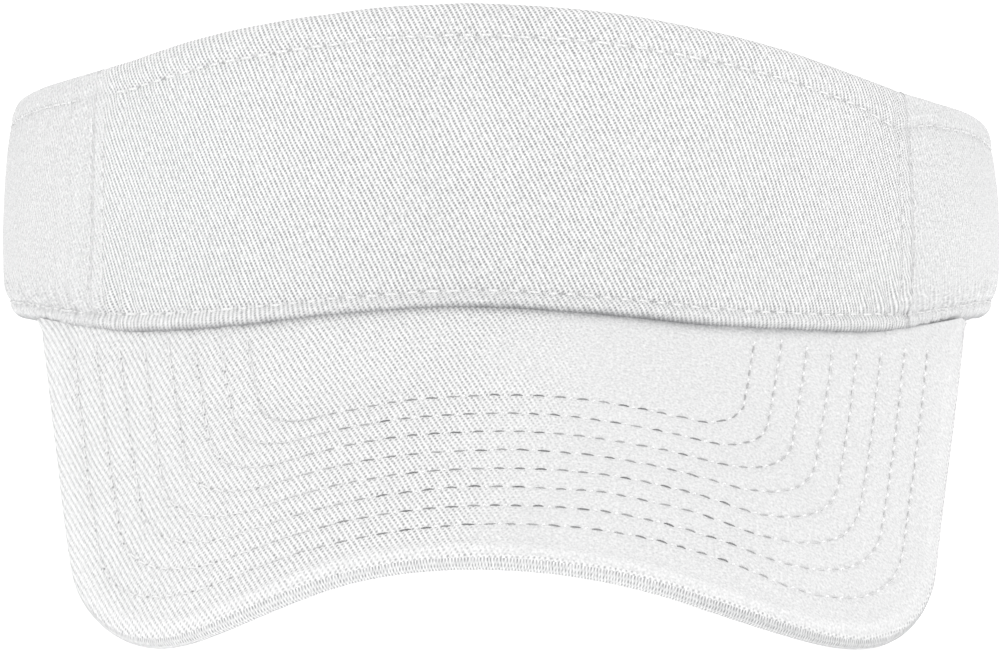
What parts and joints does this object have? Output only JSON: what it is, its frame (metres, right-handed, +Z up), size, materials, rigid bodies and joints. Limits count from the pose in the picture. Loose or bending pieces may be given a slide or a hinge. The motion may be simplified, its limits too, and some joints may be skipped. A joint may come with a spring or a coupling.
{
  "type": "sun visor",
  "caption": "Open-crown fabric sun visor: soft curved crown band with a folded hem, pre-curved stitched bill and an overlapping hook-and-loop closure at the back.",
  "frame": {"origin": "below the middle of the bounding box, on the surface the visor lies on", "axes": "+X towards the wearer's left, +Y from the bill to the back of the head, +Z up; the visor lies on its bill's corners and the rear of its band"},
  "size_m": [0.1762, 0.247, 0.0948],
  "materials": {
    "twill": "garment-washed cotton twill, matt",
    "lining": "plain cotton lining, matt",
    "stiffener": "open-weave stiffener, matt",
    "sweatband_cloth": "brushed cotton, matt",
    "padding": "soft wadding, matt",
    "board": "flexible plastic sheet, satin",
    "label": "smooth woven tape, blank",
    "loop": "napped loop pile",
    "hook": "moulded hook tape, matt"
  },
  "bodies": {
    "front": {"front_panel": "twill", "front_backing": "stiffener", "front_lining": "lining", "sweatband": "sweatband_cloth", "sweatband_padding": "padding", "size_label": "label", "bill_board": "board", "bill_top_cover": "twill", "bill_under_cover": "twill"},
    "left_arm": {"left_side_panel": "twill", "left_side_lining": "lining", "loop_tab": "twill", "loop_tape": "loop"},
    "right_arm": {"right_side_panel": "twill", "right_side_lining": "lining", "hook_tape": "hook"}
  },
  "joints": [
    {"name": "left_flex", "type": "hinge", "parent": "front", "child": "left_arm", "pos_m": [0.068, -0.01918, 0.0537], "axis": [0, 0.2509, 0.968], "range_deg": [-5, 5.5]},
    {"name": "right_flex", "type": "hinge", "parent": "front", "child": "right_arm", "pos_m": [-0.068, -0.01918, 0.0537], "axis": [0, 0.2509, 0.968], "range_deg": [-5.5, 5]}
  ],
  "couplings": [
    {"joint": "right_flex", "follows": "left_flex", "ratio": -1}
  ]
}
